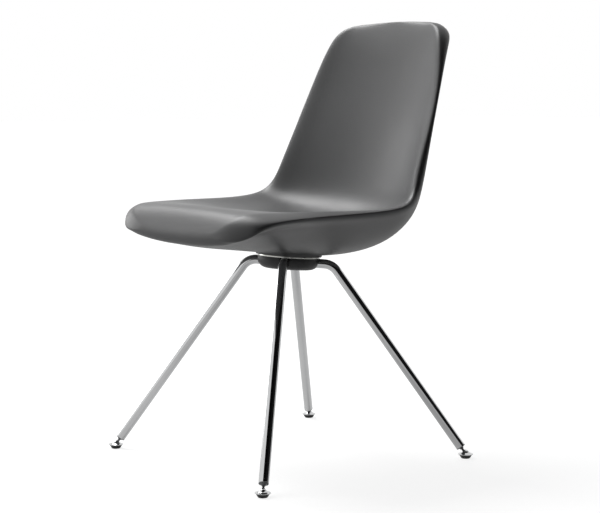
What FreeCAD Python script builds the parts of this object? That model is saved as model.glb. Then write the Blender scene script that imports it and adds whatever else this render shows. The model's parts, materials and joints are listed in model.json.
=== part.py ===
import FreeCAD, Part
import math
import os
import Sketcher
from collections import namedtuple
from FreeCAD import Placement, Rotation, Vector

# Shell chair on four splayed tube legs. Millimetres, +Z up, the sitter faces -Y.
# The origin lies on the floor, under the middle of the whole chair.

UP = Vector(0, 0, 1)
ACROSS = Vector(1, 0, 0)
FULL_TURN = 360
# The tubes leave the hub halfway between the X and Y axes.
DIAGONAL = 45
SCREW_COUNT = 4

# Driving sizes: alias, value, what it is.
DRIVING_SIZES = (
    ("seat_width", 480, "seat, rim to rim at its widest"),
    ("back_width", 428, "back, rim to rim just above the seat"),
    ("nose_reach", 260, "front edge of the seat ahead of the hub axis"),
    ("rim_height", 485, "side rim of the seat above the floor"),
    ("nose_drop", 42, "front edge below the side rim"),
    ("turn_reach", 132, "where the rim turns up, behind the hub axis"),
    ("turn_rise", 24, "turn of the rim above the side rim"),
    ("top_reach", 270, "top edge of the back, behind the hub axis"),
    ("top_height", 838, "top edge of the back above the floor"),
    ("top_arch", 5, "fall of the top edge from its middle to its corners"),
    ("seat_dish", 45, "hollow of the seat below its rim"),
    ("back_dish", 33, "hollow of the back behind its rim"),
    ("belly_thickness", 71, "moulding at the middle of the seat"),
    ("back_thickness", 28, "moulding at the middle of the back"),
    ("edge_thickness", 14, "moulding below its rim line"),
    ("nose_roll", 33, "rounded front above its edge line"),
    ("rim_tuck", 40, "full pull-in of the faces from the rim"),
    ("least_tuck", 6, "least pull-in of the faces from the rim"),
    ("pad_height", 387, "flat pad under the seat, at the hub axis"),
    ("pad_margin", 4, "pad beyond the mounting plate"),
    ("pad_rise", 26, "root of the pad above its face"),
    ("pad_draft", 10, "root of the pad beyond its face"),
    ("hub_tilt", 4.6, "lean of the pad and hub, front up"),
    ("plate_diameter", 118, "mounting plate"),
    ("plate_thickness", 3, "mounting plate"),
    ("screw_circle", 84, "diameter through the plate screws"),
    ("screw_diameter", 6, "plate screw"),
    ("screw_length", 13, "plate screw under its head"),
    ("screw_head_diameter", 11, "plate screw"),
    ("screw_head_height", 3.6, "plate screw"),
    ("screw_hole_play", 0.6, "added to the screw in the plate's hole"),
    ("insert_diameter", 12, "threaded insert"),
    ("insert_height", 12, "threaded insert"),
    ("insert_plate_width", 140, "steel plate moulded into the seat"),
    ("insert_plate_depth", 120, "steel plate moulded into the seat"),
    ("insert_plate_thickness", 3, "steel plate moulded into the seat"),
    ("insert_plate_corner", 15, "corner radius of that plate"),
    ("rod_diameter", 8, "rod of the inner frame"),
    ("rod_spacing", 110, "between the two rails of the inner frame"),
    ("rod_front", 45, "rails reach ahead of the hub axis"),
    ("rod_corner", 28, "corner radius where the rails turn across"),
    ("tube_diameter", 18, "leg tube"),
    ("tube_wall", 2, "leg tube"),
    ("bend_radius", 32, "leg tube, centre line"),
    ("leg_splay", 35.5, "leg from the vertical"),
    ("foot_radius", 343, "ball of a foot from the hub axis"),
    ("ball_height", 8.5, "ball centre above the floor"),
    ("ball_diameter", 9, "ball of the stud"),
    ("ball_play", 0.1, "socket beyond the ball, on the radius"),
    ("neck_diameter", 4.6, "neck of the stud"),
    ("neck_length", 17, "ball centre to the end face of the leg"),
    ("stud_depth", 12, "stud inside its plug"),
    ("fit_play", 0.05, "radial play of a stud or screw in its hole"),
    ("plug_depth", 22, "plug inside the tube"),
    ("plug_flange", 1.5, "plug beyond the tube end"),
    ("collar_diameter", 10, "root of the plug's collar"),
    ("collar_tip", 6.4, "tip of the plug's collar"),
    ("collar_height", 4, "plug's collar"),
    ("cap_diameter", 28.4, "flange of the glide cap"),
    ("cap_lip", 1, "edge of the glide cap"),
    ("cap_top", 16.4, "top of the glide cap above the floor"),
    ("dome_radius", 7, "round top of the glide cap"),
    ("tilt_limit", 12, "tilt of a foot either way"),
    ("mouth_play", 0.25, "mouth of the cap beyond the neck"),
    ("base_height", 7.5, "glide base, floor to cap"),
    ("base_top", 26, "glide base under the cap"),
    ("base_bottom", 16.5, "glide base on the floor"),
    ("spigot_diameter", 18, "glide base inside the cap"),
    ("spigot_height", 1.5, "glide base inside the cap"),
    ("boss_diameter", 32, "hub boss that the tubes meet"),
    ("cover_diameter", 120, "hub cover at its rim"),
    ("cover_depth", 23, "hub cover"),
    ("cover_wall", 2.2, "hub cover"),
    ("cover_round", 19, "hub cover, outer corner"),
    ("notch_play", 0.4, "notch of the cover beyond the tube"),
    ("recess_radius", 7.5, "recess for the cover screw"),
    ("recess_depth", 3.2, "recess for the cover screw"),
    ("cover_screw_diameter", 5, "cover screw"),
    ("cover_screw_length", 14, "cover screw under its head"),
    ("cover_head_diameter", 9.4, "cover screw"),
    ("cover_head_height", 2.6, "cover screw"),
)

# Corners of the chair: name, side along X, side along Y.
CORNERS = (
    ("front_left", -1, -1),
    ("front_right", 1, -1),
    ("rear_left", -1, 1),
    ("rear_right", 1, 1),
)


class Size:
    """A length or angle that knows both its number and its formula on the sheet."""

    def __init__(self, number, formula):
        self.number = number
        self.formula = formula

    def joined(self, other, sign, number):
        formula = other.formula if isinstance(other, Size) else repr(other)
        return Size(number, "(" + self.formula + " " + sign + " " + formula + ")")

    def __add__(self, other):
        return self.joined(other, "+", self.number + number_of(other))

    def __sub__(self, other):
        return self.joined(other, "-", self.number - number_of(other))

    def __mul__(self, other):
        return self.joined(other, "*", self.number * number_of(other))

    def __truediv__(self, other):
        return self.joined(other, "/", self.number / number_of(other))

    def __neg__(self):
        return Size(-self.number, "(0 - " + self.formula + ")")


def number_of(size):
    return size.number if isinstance(size, Size) else size


def trig(name, function, angle):
    formula = name + "(" + angle.formula + " * 1 deg)"
    return Size(function(math.radians(angle.number)), formula)


def sine(angle):
    return trig("sin", math.sin, angle)


def cosine(angle):
    return trig("cos", math.cos, angle)


def tangent(angle):
    return trig("tan", math.tan, angle)


def root(size):
    return Size(math.sqrt(size.number), "sqrt(" + size.formula + ")")


def square(size):
    return size * size


class Sizes:
    """The driving sizes, one attribute each."""

    def __init__(self, doc):
        sheet = doc.addObject("Spreadsheet::Sheet", "Sizes")
        for row, (alias, number, note) in enumerate(DRIVING_SIZES, start=1):
            sheet.set("A%d" % row, note)
            sheet.set("B%d" % row, str(number))
            sheet.setAlias("B%d" % row, alias)
        doc.recompute()
        for alias, _, _ in DRIVING_SIZES:
            number = float(sheet.get(alias))
            setattr(self, alias, Size(number, "Sizes." + alias))


ZERO = Size(0.0, "0")


# Helpers for bodies and sketches

def new_body(doc, label):
    body = doc.addObject("PartDesign::Body", label)
    body.Label = label
    return body


def origin_item(body, role):
    return next(item for item in body.Origin.OriginFeatures if item.Role == role)


def new_sketch(body, role, name):
    sketch = body.newObject("Sketcher::SketchObject", name)
    sketch.AttachmentSupport = [(origin_item(body, role), "")]
    sketch.MapMode = "FlatFace"
    return sketch


def fix_coordinate(sketch, kind, item, point, size):
    """Hold one coordinate of a sketch point at a sheet size."""
    if size is ZERO:
        axis = -2 if kind == "DistanceX" else -1
        sketch.addConstraint(Sketcher.Constraint("PointOnObject", item, point, axis))
        return
    index = sketch.addConstraint(
        Sketcher.Constraint(kind, -1, 1, item, point, size.number))
    sketch.setExpression("Constraints[%d]" % index, size.formula)


def fix_point(sketch, item, point, place):
    fix_coordinate(sketch, "DistanceX", item, point, place[0])
    fix_coordinate(sketch, "DistanceY", item, point, place[1])


def plain(place):
    return Vector(place[0].number, place[1].number, 0)


def arc_between(start, end, centre, turn):
    """Arc of a circle from start to end, turn +1 anticlockwise or -1 clockwise."""
    first = start - centre
    last = end - centre
    angles = [math.atan2(first.y, first.x), math.atan2(last.y, last.x)]
    if turn < 0:
        angles.reverse()
    circle = Part.Circle(centre, UP, first.Length)
    return Part.ArcOfCircle(circle, angles[0], angles[1])


def draw_outline(sketch, start, steps, closed=True):
    """Draw lines and arcs from point to point, every point held by sheet sizes.

    A step is (point,) for a line or (point, centre, turn) for an arc. An arc's end keeps
    one coordinate free, because its circle already fixes the other.
    """
    ends = []
    here = start
    for step in steps:
        target = step[0]
        if len(step) == 1:
            item = sketch.addGeometry(Part.LineSegment(plain(here), plain(target)))
            ends.append((item, 1, 2))
        else:
            arc = arc_between(plain(here), plain(target), plain(step[1]), step[2])
            item = sketch.addGeometry(arc)
            ends.append((item, 1, 2) if step[2] > 0 else (item, 2, 1))
            fix_point(sketch, item, 3, step[1])
        here = target
    for (item, _, last), (follower, first, _) in zip(ends, ends[1:]):
        sketch.addConstraint(Sketcher.Constraint("Coincident", item, last, follower, first))
    if closed:
        sketch.addConstraint(
            Sketcher.Constraint("Coincident", ends[-1][0], ends[-1][2], ends[0][0], ends[0][1]))
    else:
        fix_point(sketch, ends[0][0], ends[0][1], start)
    for (item, _, last), step in zip(ends, steps):
        if len(step) == 1:
            fix_point(sketch, item, last, step[0])
            continue
        spoke = plain(step[0]) - plain(step[1])
        if abs(spoke.y) > abs(spoke.x):
            fix_coordinate(sketch, "DistanceX", item, last, step[0][0])
        else:
            fix_coordinate(sketch, "DistanceY", item, last, step[0][1])


def draw_circle(sketch, centre, diameter):
    circle = Part.Circle(plain(centre), UP, diameter.number / 2)
    item = sketch.addGeometry(circle)
    fix_point(sketch, item, 3, centre)
    index = sketch.addConstraint(Sketcher.Constraint("Diameter", item, diameter.number))
    sketch.setExpression("Constraints[%d]" % index, diameter.formula)


def revolve(body, sketch, name, kind="PartDesign::Revolution"):
    feature = body.newObject(kind, name)
    feature.Profile = sketch
    feature.ReferenceAxis = (sketch, ["V_Axis"])
    feature.Angle = FULL_TURN
    return feature


def pad(body, sketch, name, length):
    feature = body.newObject("PartDesign::Pad", name)
    feature.Profile = sketch
    feature.setExpression("Length", length.formula)
    return feature


def pocket_through(body, sketch, name):
    feature = body.newObject("PartDesign::Pocket", name)
    feature.Profile = sketch
    feature.Type = "ThroughAll"
    feature.Midplane = True
    return feature


def polar_copies(doc, body, feature, name, copies):
    pattern = body.newObject("PartDesign::PolarPattern", name)
    pattern.Originals = [feature]
    pattern.Axis = (origin_item(body, "Z_Axis"), [""])
    pattern.Angle = FULL_TURN
    pattern.Occurrences = copies
    body.Tip = pattern
    return pattern


def turned_body(doc, label, start, steps):
    """A body made by one revolution about its own Z axis."""
    body = new_body(doc, label)
    sketch = new_sketch(body, "XZ_Plane", label + "_profile")
    draw_outline(sketch, start, steps)
    revolve(body, sketch, label + "_turned")
    return body


# Seat shell

# A station is one row of the shell's form, from the front edge over the seat and up the back.
# lean turns the row from level to upright. Widths, hollows, thicknesses and tucks are shares of
# the sizes on the sheet. tuck draws the underside in from the rim and pull the seating face.
# scoop over 1 keeps the underside high for longer, which leaves a hollow below the rim. lift is
# the share of the roll that stands upright on the rim.
Station = namedtuple("Station", "along fall lean width dish thick roll edge tuck scoop pull lift")

SEAT_STATIONS = (
    Station(0.00, 1.03, 0, 0.50, 0.00, 0.00, 0.00, 0.00, 0.00, 1.0, 0.00, 0.00),
    Station(0.00, 1.08, 0, 0.68, -0.27, 0.40, 0.69, 0.28, 0.25, 1.0, 0.25, 0.60),
    Station(0.04, 0.96, 0, 0.86, -0.61, 0.70, 1.36, 0.65, 0.85, 1.4, 0.85, 0.50),
    Station(0.12, 0.20, 0, 0.94, -0.39, 1.14, 0.33, 1.00, 1.15, 2.2, 0.60, 0.12),
    Station(0.44, 0.11, -2, 0.98, 0.19, 1.02, 0.34, 0.95, 0.75, 2.4, 0.50, 0.12),
    Station(0.71, 0.06, 5, 1.00, 0.74, 0.97, 0.18, 0.86, 0.35, 1.8, 0.35, 0.15),
    Station(0.92, -0.04, 26, 0.98, 1.00, 0.96, 0.18, 0.76, 0.25, 1.2, 0.25, 0.35),
    Station(1.00, -0.57, 51, 0.92, 1.14, 0.70, 0.27, 1.07, 0.25, 1.0, 0.25, 0.60),
)
BACK_STATIONS = (
    Station(0.14, 0.13, 64, 1.00, 1.32, 1.29, 0.41, 1.00, 0.25, 1.0, 0.25, 0.60),
    Station(0.36, 0.37, 68, 0.96, 0.99, 1.03, 0.21, 0.52, 0.25, 1.0, 0.25, 0.60),
    Station(0.61, 0.64, 70, 0.90, 0.66, 0.96, 0.18, 0.35, 0.25, 1.0, 0.25, 0.60),
    Station(0.82, 0.86, 73, 0.81, 0.24, 0.95, 0.47, 1.10, 0.25, 1.0, 0.25, 0.60),
    Station(1.00, 1.00, 75, 0.71, 0.00, 0.83, 0.65, 1.74, 0.20, 1.0, 0.20, 0.60),
    Station(1.00, 1.00, 75, 0.52, 0.00, 0.00, 0.00, 0.00, 0.00, 1.0, 0.00, 0.00),
)
ARCHED_ROWS = 2
SPLINE_DEGREE = 3
# Poles from the rim to the middle, as shares of the half width.
POLE_SHARES = (0.80, 0.55, 0.28, 0.0)
EDGE_SHARES = (1.0, 0.93, 0.80, 0.72, 0.50, 0.26, 0.0)
TOP_POWER = 2.2
UNDER_POWER = 3
LIP_SHARE = 0.6
TUCK_FALL = 0.05

Row = namedtuple("Row", "base normal half dish thick roll edge tuck scoop pull lift arch")


def shell_rows(s):
    """The stations in millimetres: a point on the rim line, a direction and the offsets."""
    rows = []
    reach = s.nose_reach.number
    rim = s.rim_height.number
    turn_height = rim + s.turn_rise.number
    run = reach + s.turn_reach.number
    for spot in SEAT_STATIONS:
        base = Vector(0, spot.along * run - reach, rim - spot.fall * s.nose_drop.number)
        rows.append(shell_row(s, spot, base, s.seat_width, s.seat_dish, s.belly_thickness))
    edge_half = BACK_STATIONS[-1].width * s.back_width.number / 2
    arch = s.top_arch.number / edge_half ** 2
    plain_rows = len(BACK_STATIONS) - ARCHED_ROWS
    for index, spot in enumerate(BACK_STATIONS):
        base = Vector(
            0,
            s.turn_reach.number + spot.along * (s.top_reach.number - s.turn_reach.number),
            turn_height + spot.fall * (s.top_height.number - turn_height))
        row = shell_row(s, spot, base, s.back_width, s.back_dish, s.back_thickness)
        rows.append(row if index < plain_rows else row._replace(arch=arch))
    return rows


def shell_row(s, spot, base, width, dish, thickness):
    lean = math.radians(spot.lean)
    return Row(
        base,
        Vector(0, -math.sin(lean), math.cos(lean)),
        spot.width * width.number / 2,
        spot.dish * dish.number,
        spot.thick * thickness.number,
        spot.roll * s.nose_roll.number,
        spot.edge * s.edge_thickness.number,
        max(s.least_tuck.number, spot.tuck * s.rim_tuck.number),
        spot.scoop,
        max(s.least_tuck.number, spot.pull * s.rim_tuck.number),
        spot.lift,
        0.0)


def mirrored_row(row, offsets):
    """Poles from the +X rim to the -X rim, given sides and rises on the +X half."""
    half = [row.base + ACROSS * side + row.normal * rise - UP * (row.arch * side ** 2)
            for side, rise in offsets]
    return half + [Vector(-pole.x, pole.y, pole.z) for pole in reversed(half[:-1])]


def top_poles(row):
    """Seating face: rolled at the rim, hollow in the middle."""
    middle = -row.dish
    offsets = [(row.half, 0.0), (row.half, row.lift * row.roll), (row.half - row.pull, row.roll)]
    for share in POLE_SHARES:
        offsets.append((share * row.half, middle + (row.roll - middle) * share ** TOP_POWER))
    return mirrored_row(row, offsets)


def under_poles(row):
    """Underside: a lip under the rim, then a belly to the middle."""
    middle = -row.dish - row.thick
    lip = -row.edge
    tucked = lip + TUCK_FALL * min(0.0, middle - lip)
    offsets = [(row.half, 0.0), (row.half, LIP_SHARE * lip), (row.half - row.tuck, tucked)]
    for share in POLE_SHARES:
        blend = 1 - (1 - share ** UNDER_POWER) ** row.scoop
        offsets.append((share * row.half, middle + (lip - middle) * blend))
    return mirrored_row(row, offsets)


def edge_poles(row):
    """The front edge or the top edge: a row drawn out flat to a line."""
    return mirrored_row(row, [(share * row.half, 0.0) for share in EDGE_SHARES])


def clamped_knots(poles):
    inner = poles - SPLINE_DEGREE
    knots = [index / inner for index in range(inner + 1)]
    return knots, [SPLINE_DEGREE + 1] + [1] * (inner - 1) + [SPLINE_DEGREE + 1]


def shell_surface(rows, poles_of):
    grid = [edge_poles(rows[0])]
    grid += [poles_of(row) for row in rows[1:-1]]
    grid.append(edge_poles(rows[-1]))
    across = [list(column) for column in zip(*grid)]
    u_knots, u_counts = clamped_knots(len(across))
    v_knots, v_counts = clamped_knots(len(grid))
    surface = Part.BSplineSurface()
    surface.buildFromPolesMultsKnots(
        across, u_counts, v_counts, u_knots, v_knots, False, False,
        SPLINE_DEGREE, SPLINE_DEGREE)
    return surface


def shell_form(s):
    """The moulding's outer form: seating face and underside, joined along the rim."""
    rows = shell_rows(s)
    seating = shell_surface(rows, top_poles)
    underside = shell_surface(rows, under_poles)
    skin = Part.Shell([seating.toShape(), underside.toShape()])
    skin.sewShape()
    solid = Part.Solid(skin)
    if solid.Volume < 0:
        solid.reverse()
    return solid, seating, underside


# Where things sit

def tube_level(s):
    """Height at which the tubes' centre lines meet, just under the plate."""
    return s.pad_height - (s.plate_thickness + s.tube_diameter / 2) / cosine(s.hub_tilt)


def hub_frame(s, rise):
    """A frame on the hub axis, Z square to the plate, a given rise above the tubes' meeting."""
    lean = Rotation(ACROSS, -s.hub_tilt.number)
    meeting = Vector(0, 0, tube_level(s).number)
    return Placement(meeting + lean.multVec(UP) * rise.number, lean)


def plate_frame(s):
    """Lower face of the mounting plate, resting on the tubes."""
    return hub_frame(s, s.tube_diameter / 2)


def pad_frame(s):
    """Upper face of the mounting plate, against the pad of the shell."""
    return hub_frame(s, s.tube_diameter / 2 + s.plate_thickness)


def corner_angle(side_x, side_y):
    return math.degrees(math.atan2(side_y, side_x))


def foot_frame(s, side_x, side_y):
    """Origin at the ball centre, Z up, X outward."""
    turn = Rotation(UP, corner_angle(side_x, side_y))
    outward = turn.multVec(ACROSS)
    centre = outward * s.foot_radius.number + UP * s.ball_height.number
    return Placement(centre, turn)


def stud_frame(s, side_x, side_y):
    """Origin at the ball centre, Z along the leg towards the hub."""
    frame = foot_frame(s, side_x, side_y)
    lean = Rotation(Vector(0, 1, 0), -s.leg_splay.number)
    return Placement(frame.Base, frame.Rotation.multiply(lean))


# Steel moulded into the shell

def rounded_path(points, radii):
    """Straight runs joined by arcs of the given radii at the inner points."""
    edges = []
    here = points[0]
    for before, corner, after, radius in zip(points, points[1:], points[2:], radii):
        inward = (before - corner).normalize()
        outward = (after - corner).normalize()
        half = inward.getAngle(outward) / 2
        reach = radius / math.tan(half)
        start = corner + inward * reach
        end = corner + outward * reach
        middle = (inward + outward).normalize()
        crown = corner + middle * (radius / math.sin(half) - radius)
        edges.append(Part.LineSegment(here, start).toShape())
        edges.append(Part.Arc(start, crown, end).toShape())
        here = end
    edges.append(Part.LineSegment(here, points[-1]).toShape())
    return Part.Wire(edges)


BEND_SHARE = 0.45
FRAME_STATIONS = (0.62, 0.70, 0.86)
RAIL_BACK_SHARE = 0.74
# Least cosine between an edge and the vertical for the edge to count as upright.
UPRIGHT = 0.9


def rail_points(s, seating, underside):
    """One rail of the inner frame in the plane x = 0, from the seat to the top of the back."""
    frame = pad_frame(s)
    rise = s.insert_height.number + s.insert_plate_thickness.number + s.rod_diameter.number / 2
    front = frame.multVec(Vector(0, -s.rod_front.number, rise))
    rear = frame.multVec(Vector(0, RAIL_BACK_SHARE * s.turn_reach.number, rise))
    points = [front, rear]
    for along in FRAME_STATIONS:
        points.append((seating.value(0.5, along) + underside.value(0.5, along)) * 0.5)
    return points


def inner_frame_shape(s, seating, underside):
    half = s.rod_spacing.number / 2
    rail = rail_points(s, seating, underside)
    points = [point + ACROSS * half for point in rail]
    points += [point - ACROSS * half for point in reversed(rail)]
    radii = []
    for before, corner, after in zip(points, points[1:], points[2:]):
        inward = before - corner
        outward = after - corner
        turn = math.pi - inward.getAngle(outward)
        largest = BEND_SHARE * min(inward.Length, outward.Length) / math.tan(turn / 2)
        turns_across = max(abs(inward.x), abs(outward.x)) > half
        radii.append(s.rod_corner.number if turns_across else largest)
    path = rounded_path(points, radii)
    heading = (points[1] - points[0]).normalize()
    ring = Part.Wire([Part.Circle(points[0], heading, s.rod_diameter.number / 2).toShape()])
    return path.makePipeShell([ring], True, False)


def insert_plate_shape(s):
    """Flat steel plate with rounded corners, on top of the inserts."""
    width = s.insert_plate_width.number
    depth = s.insert_plate_depth.number
    thickness = s.insert_plate_thickness.number
    corner = Vector(-width / 2, -depth / 2, s.insert_height.number)
    block = Part.makeBox(width, depth, thickness, corner)
    upright = [edge for edge in block.Edges if abs(edge.tangentAt(0).z) > UPRIGHT]
    block = block.makeFillet(s.insert_plate_corner.number, upright)
    return moved(block, pad_frame(s))


def moved(shape, placement):
    copy = shape.copy()
    copy.Placement = placement.multiply(copy.Placement)
    return copy


def screw_places(s):
    """Centres of the four plate screws: on the X and Y axes, between the tubes."""
    radius = s.screw_circle.number / 2
    step = FULL_TURN / SCREW_COUNT
    return [Rotation(UP, index * step).multVec(ACROSS * radius) for index in range(SCREW_COUNT)]


def insert_shapes(s):
    radius = s.insert_diameter.number / 2
    bore = s.screw_diameter.number / 2 + s.fit_play.number
    height = s.insert_height.number
    return [
        moved(Part.makeCylinder(radius, height, place).cut(Part.makeCylinder(bore, height, place)),
              pad_frame(s))
        for place in screw_places(s)]


def insert_spaces(s):
    radius = s.insert_diameter.number / 2
    return [moved(Part.makeCylinder(radius, s.insert_height.number, place), pad_frame(s))
            for place in screw_places(s)]


def shell_shape(s, form, steel):
    """The form with its flat pad, less the space that the moulded-in steel fills."""
    radius = s.plate_diameter.number / 2 + s.pad_margin.number
    rise = s.pad_rise.number
    boss = Part.makeCone(radius, radius + s.pad_draft.number, rise)
    below = Part.makeCylinder(radius, rise, Vector(0, 0, -rise))
    solid = form.fuse(moved(boss, pad_frame(s))).cut(moved(below, pad_frame(s)))
    for piece in steel:
        solid = solid.cut(piece)
    return solid


# Hub

HEAD_SLOPE = 1 / 3


def make_mounting_plate(doc, s):
    body = new_body(doc, "mounting_plate")
    disc = new_sketch(body, "XY_Plane", "plate_outline")
    draw_circle(disc, (ZERO, ZERO), s.plate_diameter)
    pad(body, disc, "plate_disc", s.plate_thickness)
    hole = new_sketch(body, "XY_Plane", "plate_hole")
    draw_circle(hole, (s.screw_circle / 2, ZERO), s.screw_diameter + s.screw_hole_play)
    drilled = pocket_through(body, hole, "plate_drilled")
    polar_copies(doc, body, drilled, "plate_holes", SCREW_COUNT)
    return body


def boss_height(s):
    """Plate to the raised floor of the cover."""
    return s.cover_depth - s.recess_depth - s.cover_wall


def make_hub_boss(doc, s):
    """Turned boss below the plate, with the hole for the cover screw."""
    radius = s.boss_diameter / 2
    bore = s.cover_screw_diameter / 2 + s.fit_play
    low = -boss_height(s)
    top = low + s.cover_screw_length
    return turned_body(doc, "hub_boss", (ZERO, ZERO), [
        ((radius, ZERO),),
        ((radius, low),),
        ((bore, low),),
        ((bore, top),),
        ((ZERO, top),),
        ((ZERO, ZERO),),
    ])


def make_hub_cover(doc, s):
    """Bowl with a rounded foot, a raised middle for the screw and a notch for each tube."""
    outer = s.cover_diameter / 2
    inner = outer - s.cover_wall
    floor = -s.cover_depth
    inside = floor + s.cover_wall
    raised = floor + s.recess_depth
    hole = s.cover_screw_diameter / 2 + s.fit_play
    rim_round = s.cover_round
    wall = s.cover_wall
    centre = (outer - rim_round, floor + rim_round)
    recess = s.recess_radius
    body = new_body(doc, "hub_cover")
    sketch = new_sketch(body, "XZ_Plane", "cover_profile")
    draw_outline(sketch, (hole, raised), [
        ((recess, raised),),
        ((recess, floor),),
        ((outer - rim_round, floor),),
        ((outer, floor + rim_round), centre, 1),
        ((outer, ZERO),),
        ((inner, ZERO),),
        ((inner, floor + rim_round),),
        ((outer - rim_round, inside), centre, -1),
        ((recess + wall, inside),),
        ((recess + wall, raised + wall),),
        ((hole, raised + wall),),
        ((hole, raised),),
    ])
    revolve(body, sketch, "cover_bowl")
    half = s.tube_diameter / 2 + s.notch_play
    depth = s.tube_diameter / 2
    notch = new_sketch(body, "YZ_Plane", "cover_notch")
    draw_outline(notch, (half, ZERO), [
        ((-half, ZERO),),
        ((-half, -depth),),
        ((half, -depth), (ZERO, -depth), 1),
        ((half, ZERO),),
    ])
    cut = pocket_through(body, notch, "cover_notched")
    polar_copies(doc, body, cut, "cover_notches", len(CORNERS))
    return body


def make_screw(doc, label, diameter, length, head_diameter, head_height):
    """Pan head screw: head below its own origin, shank up."""
    radius = diameter / 2
    head = head_diameter / 2
    slope = head_height * HEAD_SLOPE
    return turned_body(doc, label, (ZERO, -head_height), [
        ((head - slope, -head_height),),
        ((head, -(head_height - slope)),),
        ((head, ZERO),),
        ((radius, ZERO),),
        ((radius, length),),
        ((ZERO, length),),
        ((ZERO, -head_height),),
    ])


# Legs

# A tube starts this share of the boss diameter from the hub axis, then is coped to the boss.
START_SHARE = 0.25


def hub_slope(s, side_y):
    """Tangent of the tube's slope as it leaves the hub, in its own plane."""
    return tangent(s.hub_tilt) * (-side_y * math.sin(math.radians(DIAGONAL)))


def make_leg(doc, s, name, side_x, side_y):
    """Bent tube: along the plate, round one bend and straight down to the foot."""
    body = new_body(doc, "leg_" + name)
    place = Placement(Vector(), Rotation(UP, corner_angle(side_x, side_y)))
    slope = hub_slope(s, side_y)
    start_x = s.boss_diameter * START_SHARE
    axis_z = tube_level(s)
    start = (start_x, axis_z + start_x * slope)
    end = (s.foot_radius - s.neck_length * sine(s.leg_splay),
           s.ball_height + s.neck_length * cosine(s.leg_splay))
    down = tangent(s.leg_splay)
    corner_x = (end[0] + (end[1] - axis_z) * down) / (slope * down + 1)
    corner = (corner_x, axis_z + corner_x * slope)
    path = new_sketch(body, "XZ_Plane", "path_" + name)
    draw_bend(path, start, corner, end, s.bend_radius)
    ring = body.newObject("Sketcher::SketchObject", "ring_" + name)
    ring.AttachmentSupport = [(path, "Edge1")]
    ring.MapMode = "NormalToEdge"
    draw_circle(ring, (ZERO, ZERO), s.tube_diameter)
    draw_circle(ring, (ZERO, ZERO), s.tube_diameter - s.tube_wall * 2)
    doc.recompute()
    pipe = body.newObject("PartDesign::AdditivePipe", "tube_" + name)
    pipe.Profile = ring
    pipe.Spine = (path, ["Edge1", "Edge2", "Edge3"])
    cope = new_sketch(body, "XY_Plane", "cope_" + name)
    cope.AttachmentOffset = place.inverse().multiply(plate_frame(s))
    draw_circle(cope, (ZERO, ZERO), s.boss_diameter)
    pocket_through(body, cope, "coped_" + name)
    body.Placement = place
    return body


def draw_bend(sketch, start, corner, end, radius):
    """Two runs joined by a tangent arc; the corner is where the runs would meet."""
    first = plain(start)
    middle = plain(corner)
    last = plain(end)
    inward = (first - middle).normalize()
    outward = (last - middle).normalize()
    half = inward.getAngle(outward) / 2
    reach = radius.number / math.tan(half)
    bisector = (inward + outward).normalize()
    centre = middle + bisector * (radius.number / math.sin(half))
    leave = middle + inward * reach
    join = middle + outward * reach
    run = sketch.addGeometry(Part.LineSegment(first, leave))
    bend = sketch.addGeometry(arc_between(leave, join, centre, -1))
    drop = sketch.addGeometry(Part.LineSegment(join, last))
    guide = sketch.addGeometry(Part.Point(middle), True)
    fix_point(sketch, guide, 1, corner)
    fix_point(sketch, run, 1, start)
    fix_point(sketch, drop, 2, end)
    for constraint in (
            Sketcher.Constraint("Tangent", run, 2, bend, 2),
            Sketcher.Constraint("Tangent", bend, 1, drop, 1),
            Sketcher.Constraint("PointOnObject", guide, 1, run),
            Sketcher.Constraint("PointOnObject", guide, 1, drop)):
        sketch.addConstraint(constraint)
    index = sketch.addConstraint(Sketcher.Constraint("Radius", bend, radius.number))
    sketch.setExpression("Constraints[%d]" % index, radius.formula)


# Feet

def make_plug(doc, s, name):
    """End plug of a tube, drawn along the leg with the ball centre at its origin."""
    seat = s.neck_length
    outside = s.tube_diameter / 2
    inside = outside - s.tube_wall
    flange = seat - s.plug_flange
    tip = flange - s.collar_height
    bore = s.neck_diameter / 2 + s.fit_play
    deep = flange + s.stud_depth
    end = seat + s.plug_depth
    return turned_body(doc, "leg_plug_" + name, (bore, tip), [
        ((s.collar_tip / 2, tip),),
        ((s.collar_diameter / 2, flange),),
        ((outside, flange),),
        ((outside, seat),),
        ((inside, seat),),
        ((inside, end),),
        ((ZERO, end),),
        ((ZERO, deep),),
        ((bore, deep),),
        ((bore, tip),),
    ])


def make_stud(doc, s, name):
    """Ball stud along the leg, the ball centre at its origin."""
    ball = s.ball_diameter / 2
    neck = s.neck_diameter / 2
    meet = root(square(ball) - square(neck))
    top = s.neck_length - s.plug_flange + s.stud_depth
    return turned_body(doc, "ball_stud_" + name, (ZERO, -ball), [
        ((neck, meet), (ZERO, ZERO), 1),
        ((neck, top),),
        ((ZERO, top),),
        ((ZERO, -ball),),
    ])


def socket_radius(s):
    return s.ball_diameter / 2 + s.ball_play


def spigot_top(s):
    return s.base_height - s.ball_height + s.spigot_height


def socket_edge(s):
    """Where the socket's sphere meets the top of the spigot."""
    return root(square(socket_radius(s)) - square(spigot_top(s)))


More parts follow.
